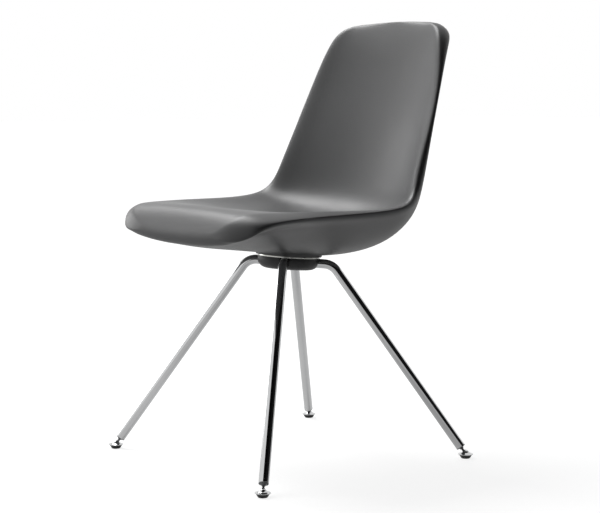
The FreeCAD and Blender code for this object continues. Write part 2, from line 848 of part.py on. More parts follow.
def make_glide_cap(doc, s, name):
    """Bell over the base: domed top, flared skirt, ball socket and slanted mouth."""
    flange = s.cap_diameter / 2
    low = s.base_height - s.ball_height
    lip = low + s.cap_lip
    crown = s.cap_top - s.ball_height
    dome = s.dome_radius
    dome_centre = (ZERO, crown - dome)
    # The skirt's arc is tangent to the dome and runs out level at the flange.
    drop = lip - dome_centre[1]
    skirt = (square(flange) + square(drop) - square(dome)) / ((dome - drop) * 2)
    skirt_centre = (flange, lip + skirt)
    share = dome / (dome + skirt)
    join = (flange * share, dome_centre[1] + (skirt_centre[1] - dome_centre[1]) * share)
    spigot = s.spigot_diameter / 2
    socket = socket_radius(s)
    body = turned_body(doc, "glide_cap_" + name, (ZERO, crown), [
        (join, dome_centre, -1),
        ((flange, lip), skirt_centre, 1),
        ((flange, low),),
        ((spigot, low),),
        ((spigot, spigot_top(s)),),
        ((socket_edge(s), spigot_top(s)),),
        ((ZERO, socket), (ZERO, ZERO), 1),
        ((ZERO, crown),),
    ])
    mouth = body.newObject("PartDesign::SubtractiveCone", "mouth_" + name)
    near = s.neck_diameter / 2 + s.mouth_play
    mouth.setExpression("Radius1", near.formula)
    mouth.setExpression("Radius2", (near + s.neck_length * tangent(s.tilt_limit)).formula)
    mouth.setExpression("Height", s.neck_length.formula)
    mouth.Placement = Placement(Vector(), Rotation(Vector(0, 1, 0), -s.leg_splay.number))
    return body


def make_glide_base(doc, s, name):
    """Black base: a frustum under the cap, a spigot into it and the lower half of the socket."""
    floor = -s.ball_height
    low = s.base_height - s.ball_height
    spigot = s.spigot_diameter / 2
    return turned_body(doc, "glide_base_" + name, (ZERO, -socket_radius(s)), [
        ((socket_edge(s), spigot_top(s)), (ZERO, ZERO), 1),
        ((spigot, spigot_top(s)),),
        ((spigot, low),),
        ((s.base_top / 2, low),),
        ((s.base_bottom / 2, floor),),
        ((ZERO, floor),),
        ((ZERO, -socket_radius(s)),),
    ])


# Assembly

def add_shape(doc, label, shape):
    feature = doc.addObject("Part::Feature", label)
    feature.Label = label
    feature.Shape = shape
    return feature


def build(doc):
    """Make every piece. Returns the pieces by node name."""
    s = Sizes(doc)
    pieces = {}
    form, seating, underside = shell_form(s)
    frame = inner_frame_shape(s, seating, underside)
    plate = insert_plate_shape(s)
    pieces["seat_shell"] = add_shape(
        doc, "seat_shell", shell_shape(s, form, [frame, plate] + insert_spaces(s)))
    pieces["inner_frame"] = add_shape(doc, "inner_frame", frame.cut(plate))
    pieces["insert_plate"] = add_shape(doc, "insert_plate", plate)
    pieces["threaded_inserts"] = add_shape(
        doc, "threaded_inserts", Part.makeCompound(insert_shapes(s)))

    hub = plate_frame(s)
    turned_to_tubes = Placement(hub.Base, hub.Rotation.multiply(Rotation(UP, DIAGONAL)))
    pieces["mounting_plate"] = make_mounting_plate(doc, s)
    pieces["mounting_plate"].Placement = hub
    pieces["hub_boss"] = make_hub_boss(doc, s)
    pieces["hub_boss"].Placement = hub
    pieces["hub_cover"] = make_hub_cover(doc, s)
    pieces["hub_cover"].Placement = turned_to_tubes
    cover_screw = make_screw(
        doc, "cover_screw", s.cover_screw_diameter, s.cover_screw_length - s.cover_wall,
        s.cover_head_diameter, s.cover_head_height)
    screw_seat = number_of(s.recess_depth - s.cover_depth)
    cover_screw.Placement = hub.multiply(Placement(UP * screw_seat, Rotation()))
    pieces["cover_screw"] = cover_screw

    screw = make_screw(
        doc, "plate_screw", s.screw_diameter, s.screw_length,
        s.screw_head_diameter, s.screw_head_height)
    doc.recompute()
    copies = [moved(screw.Shape, hub.multiply(Placement(place, Rotation())))
              for place in screw_places(s)]
    pieces["plate_screws"] = add_shape(doc, "plate_screws", Part.makeCompound(copies))

    for name, side_x, side_y in CORNERS:
        pieces["leg_" + name] = make_leg(doc, s, name, side_x, side_y)
        plug = make_plug(doc, s, name)
        plug.Placement = stud_frame(s, side_x, side_y)
        pieces["leg_plug_" + name] = plug
        stud = make_stud(doc, s, name)
        stud.Placement = stud_frame(s, side_x, side_y)
        pieces["ball_stud_" + name] = stud
        cap = make_glide_cap(doc, s, name)
        cap.Placement = foot_frame(s, side_x, side_y)
        pieces["glide_cap_" + name] = cap
        base = make_glide_base(doc, s, name)
        base.Placement = foot_frame(s, side_x, side_y)
        pieces["glide_base_" + name] = base
    doc.recompute()
    centre_on_origin(pieces)
    doc.recompute()
    return pieces


def centre_on_origin(pieces):
    """Shift the chair along Y until its outer box is centred over the origin."""
    boxes = [piece.Shape.optimalBoundingBox(False) for piece in pieces.values()]
    front = min(box.YMin for box in boxes)
    rear = max(box.YMax for box in boxes)
    shift = Placement(Vector(0, -(front + rear) / 2, 0), Rotation())
    for piece in pieces.values():
        piece.Placement = shift.multiply(piece.Placement)


def check(doc, pieces):
    """Stop on any failed object or unsound solid."""
    for item in doc.Objects:
        if "Invalid" in item.State or "Error" in item.State:
            raise RuntimeError(item.Label + " failed: " + str(item.State))
    for name, piece in pieces.items():
        shape = piece.Shape
        if shape.isNull() or not shape.isValid() or not shape.Solids:
            raise RuntimeError(name + " has no sound solid")


def main():
    doc = FreeCAD.newDocument("shell_chair")
    pieces = build(doc)
    check(doc, pieces)
    os.makedirs("parts", exist_ok=True)
    for name, piece in pieces.items():
        piece.Shape.exportStep("parts/" + name + ".step")
        box = piece.Shape.BoundBox
        print("%-24s %9.0f mm3  x %7.1f %7.1f  y %7.1f %7.1f  z %6.1f %6.1f" % (
            name, piece.Shape.Volume, box.XMin, box.XMax, box.YMin, box.YMax, box.ZMin, box.ZMax))


main()
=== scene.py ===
import json
import math
from collections import namedtuple

import bpy
from mathutils import Matrix, Vector


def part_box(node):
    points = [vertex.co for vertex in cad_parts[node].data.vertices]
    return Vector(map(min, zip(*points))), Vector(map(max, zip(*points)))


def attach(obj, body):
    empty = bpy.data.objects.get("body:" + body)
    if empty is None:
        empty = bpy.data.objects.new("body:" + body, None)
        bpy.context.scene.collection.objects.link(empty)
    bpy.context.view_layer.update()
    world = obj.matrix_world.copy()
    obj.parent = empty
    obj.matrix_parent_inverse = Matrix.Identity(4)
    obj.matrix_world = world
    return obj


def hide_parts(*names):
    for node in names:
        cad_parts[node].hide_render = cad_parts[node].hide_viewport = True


# Moulded shell chair on four chromed tube legs with tilting feet.
# Metres, +Z up, the sitter faces -Y. Left and right are as seen from the front.

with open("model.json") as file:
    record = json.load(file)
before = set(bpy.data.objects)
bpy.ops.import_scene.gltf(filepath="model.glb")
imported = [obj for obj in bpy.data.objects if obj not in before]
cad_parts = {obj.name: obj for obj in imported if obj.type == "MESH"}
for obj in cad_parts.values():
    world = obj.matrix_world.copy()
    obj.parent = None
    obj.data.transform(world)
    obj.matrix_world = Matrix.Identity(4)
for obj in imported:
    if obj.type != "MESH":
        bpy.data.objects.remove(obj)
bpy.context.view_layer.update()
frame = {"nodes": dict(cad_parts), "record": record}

# Sizes

# Shell.
SEAT_WIDTH = 0.480
BACK_WIDTH = 0.428
NOSE_REACH = 0.260
RIM_HEIGHT = 0.485
NOSE_DROP = 0.042
TURN_REACH = 0.132
TURN_RISE = 0.024
TOP_REACH = 0.270
TOP_HEIGHT = 0.838
TOP_ARCH = 0.005
SEAT_DISH = 0.045
BACK_DISH = 0.033
BELLY_THICKNESS = 0.071
BACK_THICKNESS = 0.028
EDGE_THICKNESS = 0.014
NOSE_ROLL = 0.033
PAD_HEIGHT = 0.387
PAD_RADIUS = 0.063
PAD_DRAFT = 0.010
PAD_RISE = 0.026

# Plate, cup and the cup's screw.
HUB_TILT = math.radians(4.6)
PLATE_RADIUS = 0.059
PLATE_THICKNESS = 0.003
CUP_RADIUS = 0.060
CUP_DEPTH = 0.023
CUP_WALL = 0.0022
CUP_ROUND = 0.019
CUP_HOLE = 0.00255
RECESS_RADIUS = 0.0075
RECESS_DEPTH = 0.0032
NOTCH_PLAY = 0.0004
NOTCH_CLEAR = 0.002
SHANK_RADIUS = 0.0025
SHANK_LENGTH = 0.0114
HEAD_RADIUS = 0.0047
HEAD_HEIGHT = 0.0026
HEAD_SIDE = 0.0008
CROWN_RADIUS = 0.0040
CROWN_HEIGHT = 0.0007
HEAD_FLAT_RADIUS = 0.0031
SOCKET_SIDES = 6
SOCKET_RADIUS = 0.0017
SOCKET_DEPTH = 0.002

# Tubes and their end plugs.
TUBE_RADIUS = 0.009
TUBE_WALL = 0.002
TUBE_START = 0.008
BEND_RADIUS = 0.032
LEG_SPLAY = math.radians(35.5)
FOOT_RADIUS = 0.343
DIAGONAL = math.radians(45)
PLUG_FLANGE = 0.0015
PLUG_DEPTH = 0.022
COLLAR_RADIUS = 0.005
COLLAR_TIP = 0.0032
COLLAR_HEIGHT = 0.004

# Feet: stud, bell and tread.
BALL_HEIGHT = 0.0085
BALL_RADIUS = 0.0045
BALL_PLAY = 0.0001
NECK_RADIUS = 0.0023
NECK_LENGTH = 0.017
STUD_IN_PLUG = 0.010
BELL_RADIUS = 0.0142
BELL_LIP = 0.001
BELL_TOP = 0.0164
DOME_RADIUS = 0.007
MOUTH_PLAY = 0.00025
TILT_LIMIT = math.radians(12)
TREAD_HEIGHT = 0.0075
TREAD_TOP_RADIUS = 0.013
TREAD_FOOT_RADIUS = 0.00825

# Rounding of the edges.
TUBE_EDGE = 0.0003
PLUG_EDGE = 0.0004
STUD_EDGE = 0.0001
BELL_EDGE = 0.00015
TREAD_EDGE = 0.0006
PLATE_EDGE = 0.0003
CUP_EDGE = 0.0004
SCREW_EDGE = 0.0002
EDGE_STEPS = 3
SHARP_ANGLE = math.radians(30)
SHELL_SHARP_ANGLE = math.radians(50)

# Steps of rings and arcs.
RING_STEPS = 64
BEND_STEPS = 24
BALL_STEPS = 16
BELL_STEPS = 14
CUP_STEPS = 12

# Where a turned profile stops short of its axis and is closed flat.
PLATE_CORE = 0.004
TREAD_CORE = 0.003
BELL_CORE = 0.001
NEAR_POLE = math.radians(88)

JOIN_DISTANCE = 0.00002
QUARTER = math.pi / 2

CORNERS = {
    "front_left": (-1, -1),
    "front_right": (1, -1),
    "rear_left": (-1, 1),
    "rear_right": (1, 1),
}


def middle_of(node):
    low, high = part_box(node)
    return (low + high) / 2


HUB_Y = (middle_of("glide_base_front_left").y + middle_of("glide_base_rear_left").y) / 2


# Placing

def turned_about_z(angle):
    return Matrix.Rotation(angle, 4, "Z")


def tube_level():
    """Height at which the four tubes meet, under the plate."""
    return PAD_HEIGHT - (PLATE_THICKNESS + TUBE_RADIUS) / math.cos(HUB_TILT)


def hub_place(rise):
    """On the hub axis, square to the tilted plate, a rise above the tubes' meeting."""
    meeting = Matrix.Translation((0, HUB_Y, tube_level()))
    return meeting @ Matrix.Rotation(-HUB_TILT, 4, "X") @ Matrix.Translation((0, 0, rise))


def corner_place(side_x, side_y):
    """On the hub axis at the floor, +X out to that corner."""
    return Matrix.Translation((0, HUB_Y, 0)) @ turned_about_z(math.atan2(side_y, side_x))


def foot_place(side_x, side_y):
    """At the ball centre, +Z up, +X outward."""
    return corner_place(side_x, side_y) @ Matrix.Translation((FOOT_RADIUS, 0, BALL_HEIGHT))


def stud_place(side_x, side_y):
    """At the ball centre, +Z up the leg."""
    return foot_place(side_x, side_y) @ Matrix.Rotation(-LEG_SPLAY, 4, "Y")


# Modelling

def select_only(piece):
    bpy.ops.object.select_all(action="DESELECT")
    piece.select_set(True)
    bpy.context.view_layer.objects.active = piece


def begin(name, add_primitive, **sizes):
    """Add a primitive with nothing else selected and open it for editing."""
    bpy.ops.object.select_all(action="DESELECT")
    add_primitive(**sizes)
    piece = bpy.context.object
    piece.name = name
    piece.data.name = name
    bpy.ops.object.transform_apply(location=True, rotation=True, scale=True)
    bpy.ops.object.mode_set(mode="EDIT")
    return piece


def end(piece, place=Matrix.Identity(4)):
    """Close the editing and put the piece's place into its mesh."""
    bpy.ops.object.mode_set(mode="OBJECT")
    select_only(piece)
    piece.matrix_world = place @ piece.matrix_world
    bpy.ops.object.transform_apply(location=True, rotation=True, scale=True)
    return piece


def apply_modifiers(piece):
    select_only(piece)
    for modifier in list(piece.modifiers):
        bpy.ops.object.modifier_apply(modifier=modifier.name)


def soften(piece, width):
    """Round the sharp edges a little and shade the piece smooth."""
    bevel = piece.modifiers.new("soft_edges", "BEVEL")
    bevel.width = width
    bevel.segments = EDGE_STEPS
    bevel.limit_method = "ANGLE"
    bevel.angle_limit = SHARP_ANGLE
    apply_modifiers(piece)
    bpy.ops.object.shade_smooth_by_angle(angle=SHARP_ANGLE)
    return piece


def combine(piece, tool, operation):
    """Cut a tool out of the piece, or melt it in. The tool is used up."""
    boolean = piece.modifiers.new("combine", "BOOLEAN")
    boolean.operation = operation
    boolean.solver = "EXACT"
    boolean.object = tool
    apply_modifiers(piece)
    bpy.data.objects.remove(tool)


def turned(name, profile, place=Matrix.Identity(4)):
    """Lathe work: a ring pulled along its axis from point to point of (radius, height)."""
    radius, height = profile[0]
    piece = begin(
        name, bpy.ops.mesh.primitive_circle_add,
        vertices=RING_STEPS, radius=radius, location=(0, 0, height))
    for wide, high in profile[1:]:
        bpy.ops.mesh.extrude_region_move(TRANSFORM_OT_translate={"value": (0, 0, high - height)})
        share = wide / radius
        bpy.ops.transform.resize(value=(share, share, 1), center_override=(0, 0, high))
        radius, height = wide, high
    bpy.ops.mesh.select_all(action="SELECT")
    bpy.ops.mesh.remove_doubles(threshold=JOIN_DISTANCE)
    bpy.ops.mesh.fill_holes(sides=0)
    bpy.ops.mesh.normals_make_consistent(inside=False)
    return end(piece, place)


def arc(centre, radius, start, finish, steps):
    """Points (radius, height) of an arc in the lathe's plane, angles from the horizontal."""
    angles = [start + (finish - start) * step / steps for step in range(steps + 1)]
    return [(centre[0] + radius * math.cos(angle), centre[1] + radius * math.sin(angle))
            for angle in angles]


def place_piece(piece, body, slot, material, *stands_for):
    """Finish, body and CAD nodes of a new piece."""
    piece.data.materials.clear()
    piece.data.materials.append(material)
    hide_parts(*stands_for)
    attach(piece, body)


# Node groups

NOISE_LOW = 0.3
NOISE_HIGH = 0.7
GRAIN_DETAIL = 3.0
DRIFT_DETAIL = 4.0
FINER = 2.7
FINE_SHARE = 0.5


def new_group(name, inputs, outputs):
    """A shader group with named sockets, and its input and output nodes."""
    group = bpy.data.node_groups.new(name, "ShaderNodeTree")
    for label, kind, value in inputs:
        socket = group.interface.new_socket(name=label, in_out="INPUT", socket_type=kind)
        if value is not None:
            socket.default_value = value
    for label, kind in outputs:
        group.interface.new_socket(name=label, in_out="OUTPUT", socket_type=kind)
    return group, group.nodes.new("NodeGroupInput"), group.nodes.new("NodeGroupOutput")


def math_node(tree, operation, first, second):
    node = tree.nodes.new("ShaderNodeMath")
    node.operation = operation
    for socket, value in zip(node.inputs, (first, second)):
        if isinstance(value, (int, float)):
            socket.default_value = value
        else:
            tree.links.new(value, socket)
    return node.outputs[0]


def noise(tree, vector, scale, detail):
    node = tree.nodes.new("ShaderNodeTexNoise")
    tree.links.new(vector, node.inputs["Vector"])
    tree.links.new(scale, node.inputs["Scale"])
    node.inputs["Detail"].default_value = detail
    return node.outputs["Fac"]


def between(tree, share, low, high):
    """Map the middle of a noise's range onto low to high."""
    node = tree.nodes.new("ShaderNodeMapRange")
    tree.links.new(share, node.inputs["Value"])
    node.inputs["From Min"].default_value = NOISE_LOW
    node.inputs["From Max"].default_value = NOISE_HIGH
    tree.links.new(low, node.inputs["To Min"])
    tree.links.new(high, node.inputs["To Max"])
    return node.outputs["Result"]


def make_grain_group():
    """Moulded grain: small domed cells with finer noise on them."""
    group, source, result = new_group(
        "moulded_grain",
        [("Vector", "NodeSocketVector", None), ("Scale", "NodeSocketFloat", 900.0)],
        [("Height", "NodeSocketFloat")])
    cells = group.nodes.new("ShaderNodeTexVoronoi")
    cells.feature = "SMOOTH_F1"
    group.links.new(source.outputs["Vector"], cells.inputs["Vector"])
    group.links.new(source.outputs["Scale"], cells.inputs["Scale"])
    finer = math_node(group, "MULTIPLY", source.outputs["Scale"], FINER)
    dust = noise(group, source.outputs["Vector"], finer, GRAIN_DETAIL)
    fine = math_node(group, "MULTIPLY", dust, FINE_SHARE)
    height = math_node(group, "ADD", cells.outputs["Distance"], fine)
    group.links.new(height, result.inputs["Height"])
    return group


def make_variation_group():
    """A slow drift between two values, for tone and gloss."""
    group, source, result = new_group(
        "slow_variation",
        [("Vector", "NodeSocketVector", None), ("Scale", "NodeSocketFloat", 6.0),
         ("Low", "NodeSocketFloat", 0.0), ("High", "NodeSocketFloat", 1.0)],
        [("Value", "NodeSocketFloat")])
    drift = noise(group, source.outputs["Vector"], source.outputs["Scale"], DRIFT_DETAIL)
    value = between(group, drift, source.outputs["Low"], source.outputs["High"])
    group.links.new(value, result.inputs["Value"])
    return group


GRAIN = make_grain_group()
VARIATION = make_variation_group()


# Materials

def new_material(name):
    material = bpy.data.materials.new(name)
    material.use_nodes = True
    tree = material.node_tree
    where = tree.nodes.new("ShaderNodeTexCoord").outputs["Object"]
    return material, tree, tree.nodes["Principled BSDF"], where


def use_group(tree, group, where, **values):
    node = tree.nodes.new("ShaderNodeGroup")
    node.node_tree = group
    tree.links.new(where, node.inputs["Vector"])
    for label, value in values.items():
        node.inputs[label].default_value = value
    return node.outputs[0]


def two_tones(tree, share, dark, light):
    ramp = tree.nodes.new("ShaderNodeMix")
    ramp.data_type = "RGBA"
    tree.links.new(share, ramp.inputs["Factor"])
    ramp.inputs["A"].default_value = (*dark, 1)
    ramp.inputs["B"].default_value = (*light, 1)
    return ramp.outputs["Result"]


def finish_surface(tree, shader, where, tones, tone_scale, gloss, gloss_scale, grain):
    """Tone, gloss and grain of a surface. tones and gloss are (low, high), grain (scale, depth)."""
    tone = use_group(tree, VARIATION, where, Scale=tone_scale, Low=0.0, High=1.0)
    tree.links.new(two_tones(tree, tone, *tones), shader.inputs["Base Color"])
    shine = use_group(tree, VARIATION, where, Scale=gloss_scale, Low=gloss[0], High=gloss[1])
    tree.links.new(shine, shader.inputs["Roughness"])
    if grain:
        height = use_group(tree, GRAIN, where, Scale=grain[0])
        bump = tree.nodes.new("ShaderNodeBump")
        bump.inputs["Distance"].default_value = grain[1]
        tree.links.new(height, bump.inputs["Height"])
        tree.links.new(bump.outputs["Normal"], shader.inputs["Normal"])


def make_surface(name, tones, tone_scale, gloss, gloss_scale, grain=None, metallic=0.0):
    material, tree, shader, where = new_material(name)
    shader.inputs["Metallic"].default_value = metallic
    finish_surface(tree, shader, where, tones, tone_scale, gloss, gloss_scale, grain)
    return material


SHELL_SKIN = make_surface(
    "soft_grey_shell",
    tones=((0.068, 0.069, 0.070), (0.078, 0.079, 0.081)), tone_scale=5.0,
    gloss=(0.38, 0.45), gloss_scale=9.0, grain=(700.0, 0.00012))
CHROME = make_surface(
    "chromed_tube",
    tones=((0.56, 0.565, 0.57), (0.62, 0.625, 0.63)), tone_scale=8.0,
    gloss=(0.03, 0.08), gloss_scale=30.0, metallic=1.0)
STEEL = make_surface(
    "plain_steel",
    tones=((0.42, 0.42, 0.43), (0.52, 0.52, 0.53)), tone_scale=40.0,
    gloss=(0.30, 0.45), gloss_scale=60.0, grain=(2500.0, 0.00002), metallic=1.0)
ZINC = make_surface(
    "zinc_plated_steel",
    tones=((0.60, 0.60, 0.58), (0.70, 0.70, 0.66)), tone_scale=60.0,
    gloss=(0.25, 0.40), gloss_scale=90.0, grain=(3000.0, 0.00002), metallic=1.0)
STUD_STEEL = make_surface(
    "dark_stud_steel",
    tones=((0.10, 0.10, 0.105), (0.16, 0.16, 0.165)), tone_scale=200.0,
    gloss=(0.25, 0.40), gloss_scale=300.0, metallic=1.0)
BLACK_PLASTIC = make_surface(
    "black_plastic",
    tones=((0.012, 0.012, 0.013), (0.020, 0.020, 0.021)), tone_scale=30.0,
    gloss=(0.42, 0.55), gloss_scale=40.0, grain=(1800.0, 0.00006))
GREY_PLASTIC = make_surface(
    "grey_plastic",
    tones=((0.30, 0.31, 0.32), (0.36, 0.37, 0.38)), tone_scale=120.0,
    gloss=(0.40, 0.50), gloss_scale=150.0, grain=(3000.0, 0.00003))

SLOT_MATERIALS = {
    "shell": SHELL_SKIN,
    "chrome": CHROME,
    "steel": STEEL,
    "zinc_steel": ZINC,
    "stud_steel": STUD_STEEL,
    "black_plastic": BLACK_PLASTIC,
    "grey_plastic": GREY_PLASTIC,
}


# Seat shell

# The shell's form is a row of poles at each station, from the front edge to the top edge.
# along and level say where the row is: along, as a share of the seat's or the back's run, and
# level, as a share of the nose's drop below the rim, or in the back of the rise to the top.
# lean is in degrees. width, dish, thick, roll and edge are shares of the sizes above: how wide,
# how hollow and how thick the row is, how high the seating face rolls over the rim, and how
# deep the lip is under it. tuck and pull draw the poles in below and above the rim, scoop
# hollows the underside out behind the lip, and lift is the share of the roll that stands
# upright on the rim. The two rows behind the front edge are a few millimetres fuller than in
# the CAD shell, and roll over more tightly.
Station = namedtuple("Station", "along level lean width dish thick roll edge tuck scoop pull lift")
SEAT_STATIONS = (
    Station(0.00, 1.03, 0, 0.50, 0.00, 0.00, 0.00, 0.00, 0.00, 1.0, 0.00, 0.00),
    Station(0.00, 1.08, 0, 0.68, -0.27, 0.40, 0.69, 0.28, 0.25, 1.0, 0.25, 0.60),
    Station(0.04, 0.96, 0, 0.86, -0.80, 0.82, 1.18, 0.65, 0.85, 1.4, 0.85, 0.50),
    Station(0.12, 0.20, 0, 0.94, -0.45, 1.18, 0.33, 1.00, 1.15, 2.2, 0.85, 0.05),
    Station(0.44, 0.11, -2, 0.98, 0.19, 1.02, 0.34, 0.95, 0.75, 2.4, 0.50, 0.12),
    Station(0.71, 0.06, 5, 1.00, 0.74, 0.97, 0.18, 0.86, 0.35, 1.8, 0.35, 0.15),
    Station(0.92, -0.04, 26, 0.98, 1.00, 0.96, 0.18, 0.76, 0.25, 1.2, 0.25, 0.35),
    Station(1.00, -0.57, 51, 0.92, 1.14, 0.70, 0.27, 1.07, 0.25, 1.0, 0.25, 0.60),
)
BACK_STATIONS = (
    Station(0.14, 0.13, 64, 1.00, 1.32, 1.29, 0.41, 1.00, 0.25, 1.0, 0.25, 0.60),
    Station(0.36, 0.37, 68, 0.96, 0.99, 1.03, 0.21, 0.52, 0.25, 1.0, 0.25, 0.60),
    Station(0.61, 0.64, 70, 0.90, 0.66, 0.96, 0.18, 0.35, 0.25, 1.0, 0.25, 0.60),
    Station(0.82, 0.86, 73, 0.81, 0.24, 0.95, 0.47, 1.10, 0.25, 1.0, 0.25, 0.60),
    Station(1.00, 1.00, 75, 0.71, 0.00, 0.83, 0.65, 1.74, 0.20, 1.0, 0.20, 0.60),
    Station(1.00, 1.00, 75, 0.52, 0.00, 0.00, 0.00, 0.00, 0.00, 1.0, 0.00, 0.00),
)
ARCHED_ROWS = 2
POLE_SHARES = (0.80, 0.55, 0.28, 0.0)
EDGE_SHARES = (1.0, 0.93, 0.80, 0.72, 0.50, 0.26, 0.0)
TOP_POWER = 2.2
UNDER_POWER = 3
LIP_SHARE = 0.6
TUCK_UNIT = 0.040
TUCK_LEAST = 0.006
TUCK_FALL = 0.05
SPLINE_DEGREE = 3
SPAN_STEPS = 10
SHARE_DIGITS = 5


class ShellRow:
    """One row of the shell in metres: a point on the rim line, a direction and offsets."""

    def __init__(self, station, base, width, hollow, thickness, arch):
        lean = math.radians(station.lean)
        self.base = base
        self.normal = Vector((0, -math.sin(lean), math.cos(lean)))
        self.half = station.width * width / 2
        self.middle = -station.dish * hollow
        self.thick = station.thick * thickness
        self.roll = station.roll * NOSE_ROLL
        self.lip = -station.edge * EDGE_THICKNESS
        self.tuck = max(TUCK_LEAST, station.tuck * TUCK_UNIT)
        self.scoop = station.scoop
        self.pull = max(TUCK_LEAST, station.pull * TUCK_UNIT)
        self.lift = station.lift
        self.arch = arch

    def across(self, offsets):
        """Points from the +X rim to the -X rim, from sides and rises of the +X half."""
        half = [self.base + Vector((side, 0, -self.arch * side ** 2)) + self.normal * rise
                for side, rise in offsets]
        return half + [Vector((-point.x, point.y, point.z)) for point in reversed(half[:-1])]

    def edge(self):
        return self.across([(share * self.half, 0.0) for share in EDGE_SHARES])

    def top(self):
        """Seating face: rolled at the rim, hollow in the middle."""
        offsets = [(self.half, 0.0), (self.half, self.lift * self.roll),
                   (self.half - self.pull, self.roll)]
        for share in POLE_SHARES:
            rise = self.middle + (self.roll - self.middle) * share ** TOP_POWER
            offsets.append((share * self.half, rise))
        return self.across(offsets)

    def under(self):
        """Underside: a lip under the rim, then a belly to the middle."""
        deepest = self.middle - self.thick
        tucked = self.lip + TUCK_FALL * min(0.0, deepest - self.lip)
        offsets = [(self.half, 0.0), (self.half, LIP_SHARE * self.lip),
                   (self.half - self.tuck, tucked)]
        for share in POLE_SHARES:
            blend = 1 - (1 - share ** UNDER_POWER) ** self.scoop
            offsets.append((share * self.half, deepest + (self.lip - deepest) * blend))
        return self.across(offsets)


def shell_rows():
    run = NOSE_REACH + TURN_REACH
    turn_height = RIM_HEIGHT + TURN_RISE
    rows = []
    for station in SEAT_STATIONS:
        base = Vector((
            0,
            HUB_Y + station.along * run - NOSE_REACH,
            RIM_HEIGHT - station.level * NOSE_DROP))
        rows.append(ShellRow(station, base, SEAT_WIDTH, SEAT_DISH, BELLY_THICKNESS, 0.0))
    top_half = BACK_STATIONS[-1].width * BACK_WIDTH / 2
    arch = TOP_ARCH / top_half ** 2
    for index, station in enumerate(BACK_STATIONS):
        base = Vector((
            0,
            HUB_Y + TURN_REACH + station.along * (TOP_REACH - TURN_REACH),
            turn_height + station.level * (TOP_HEIGHT - turn_height)))
        bent = arch if index >= len(BACK_STATIONS) - ARCHED_ROWS else 0.0
        rows.append(ShellRow(station, base, BACK_WIDTH, BACK_DISH, BACK_THICKNESS, bent))
    return rows


def spline_pull(share, count):
    """How hard each of a row's poles pulls at a share of the way along, pinned at both ends."""
    spans = count - SPLINE_DEGREE
    inner = [index / spans for index in range(spans + 1)]
    knots = [0.0] * SPLINE_DEGREE + inner + [1.0] * SPLINE_DEGREE
    span = min(int(share * spans), spans - 1) + SPLINE_DEGREE
    pull = [0.0] * (len(knots) - 1)
    pull[span] = 1.0
    for degree in range(1, SPLINE_DEGREE + 1):
        for index in range(len(knots) - 1 - degree):
            rise = knots[index + degree] - knots[index]
            fall = knots[index + degree + 1] - knots[index + 1]
            first = (share - knots[index]) / rise * pull[index] if rise else 0.0
            last = (knots[index + degree + 1] - share) / fall * pull[index + 1] if fall else 0.0
            pull[index] = first + last
    return pull[:count]


def sheet_over(name, rows_of_points):
    """Lay a fine grid over the rows: each of its points goes to its own share of the form."""
    along = len(rows_of_points)
    across = len(rows_of_points[0])
    sheet = begin(
        name, bpy.ops.mesh.primitive_grid_add, size=1,
        x_subdivisions=(across - SPLINE_DEGREE) * SPAN_STEPS,
        y_subdivisions=(along - SPLINE_DEGREE) * SPAN_STEPS)
    bpy.ops.object.mode_set(mode="OBJECT")
    pulls = {}
    for vertex in sheet.data.vertices:
        shares = [round(side + 0.5, SHARE_DIGITS) for side in vertex.co.xy]
        for share, count in zip(shares, (across, along)):
            if (share, count) not in pulls:
                pulls[share, count] = spline_pull(share, count)
        place = Vector()
        for row, row_pull in zip(rows_of_points, pulls[shares[1], along]):
            if row_pull:
                for point, pull in zip(row, pulls[shares[0], across]):
                    place += point * (row_pull * pull)
        vertex.co = place
    return sheet


def make_shell():
    rows = shell_rows()
    first = rows[0].edge()
    last = rows[-1].edge()
    seating = sheet_over("moulded_shell", [first] + [row.top() for row in rows[1:-1]] + [last])
    under = sheet_over("underside", [first] + [row.under() for row in rows[1:-1]] + [last])
    bpy.ops.object.select_all(action="DESELECT")
    under.select_set(True)
    seating.select_set(True)
    bpy.context.view_layer.objects.active = seating
    bpy.ops.object.join()
    bpy.ops.object.mode_set(mode="EDIT")
    bpy.ops.mesh.select_all(action="SELECT")
    bpy.ops.mesh.remove_doubles(threshold=JOIN_DISTANCE)
    bpy.ops.mesh.normals_make_consistent(inside=False)
    shell = end(seating)
    boss = begin(
        "boss", bpy.ops.mesh.primitive_cone_add, vertices=RING_STEPS, radius1=PAD_RADIUS,
        radius2=PAD_RADIUS + PAD_DRAFT, depth=PAD_RISE, location=(0, 0, PAD_RISE / 2))
    pad = hub_place(TUBE_RADIUS + PLATE_THICKNESS)
    combine(shell, end(boss, pad), "UNION")
    below = pad @ Matrix.Translation((0, 0, -PAD_RISE / 2))
    disc = begin(
        "below", bpy.ops.mesh.primitive_cylinder_add, vertices=RING_STEPS, radius=PAD_RADIUS,
        depth=PAD_RISE)
    combine(shell, end(disc, below), "DIFFERENCE")
    select_only(shell)
    bpy.ops.object.shade_smooth_by_angle(angle=SHELL_SHARP_ANGLE)
    place_piece(shell, "chair", "shell", SHELL_SKIN, "seat_shell")


# Legs

